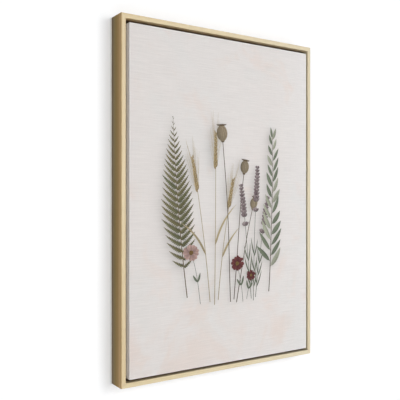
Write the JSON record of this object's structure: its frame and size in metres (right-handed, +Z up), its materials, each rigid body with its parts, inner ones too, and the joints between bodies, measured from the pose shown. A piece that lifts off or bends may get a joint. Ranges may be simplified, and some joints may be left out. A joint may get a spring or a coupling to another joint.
{
  "type": "framed canvas print",
  "caption": "Upright stretched canvas print floating in a light wood L-section frame, with pine stretcher bars, staples, a sawtooth hanger and rubber pads; hangs flat on a wall.",
  "frame": {"origin": "the hanging point: top of the middle notch of the sawtooth hanger, taken on the wall plane, where the wall nail comes out of the wall", "axes": "+Z up along the picture's height, +X to the viewer's right along its width, +Y from the picture's face towards the wall"},
  "size_m": [0.427, 0.043, 0.627],
  "materials": {
    "frame_wood": "pale natural wood, satin lacquer",
    "stretcher_pine": "planed bare pine",
    "canvas": "printed matt canvas, plain weave",
    "fixing_steel": "galvanised steel wire and strip",
    "screw_zinc": "zinc plated, slightly yellow",
    "hanger_brass": "brass plated stamped steel",
    "pad_rubber": "matt dark grey rubber"
  },
  "bodies": {
    "root": {"bumper_left": "pad_rubber", "bumper_right": "pad_rubber", "canvas": "canvas", "hanger": "hanger_brass", "hanger_nail_left": "hanger_brass", "hanger_nail_right": "hanger_brass", "rail_bottom": "frame_wood", "rail_left": "frame_wood", "rail_right": "frame_wood", "rail_top": "frame_wood", "screw_bottom_left": "screw_zinc", "screw_bottom_right": "screw_zinc", "screw_left_lower": "screw_zinc", "screw_left_upper": "screw_zinc", "screw_right_lower": "screw_zinc", "screw_right_upper": "screw_zinc", "screw_top_left": "screw_zinc", "screw_top_right": "screw_zinc", "staple_bottom_1": "fixing_steel", "staple_bottom_2": "fixing_steel", "staple_bottom_3": "fixing_steel", "staple_bottom_4": "fixing_steel", "staple_bottom_5": "fixing_steel", "staple_left_1": "fixing_steel", "staple_left_2": "fixing_steel", "staple_left_3": "fixing_steel", "staple_left_4": "fixing_steel", "staple_left_5": "fixing_steel", "staple_left_6": "fixing_steel", "staple_left_7": "fixing_steel", "staple_left_8": "fixing_steel", "staple_right_1": "fixing_steel", "staple_right_2": "fixing_steel", "staple_right_3": "fixing_steel", "staple_right_4": "fixing_steel", "staple_right_5": "fixing_steel", "staple_right_6": "fixing_steel", "staple_right_7": "fixing_steel", "staple_right_8": "fixing_steel", "staple_top_1": "fixing_steel", "staple_top_2": "fixing_steel", "staple_top_3": "fixing_steel", "staple_top_4": "fixing_steel", "staple_top_5": "fixing_steel", "stretcher_bottom": "stretcher_pine", "stretcher_left": "stretcher_pine", "stretcher_right": "stretcher_pine", "stretcher_top": "stretcher_pine", "vnail_bottom_left_inner": "fixing_steel", "vnail_bottom_left_outer": "fixing_steel", "vnail_bottom_right_inner": "fixing_steel", "vnail_bottom_right_outer": "fixing_steel", "vnail_top_left_inner": "fixing_steel", "vnail_top_left_outer": "fixing_steel", "vnail_top_right_inner": "fixing_steel", "vnail_top_right_outer": "fixing_steel"}
  },
  "joints": []
}
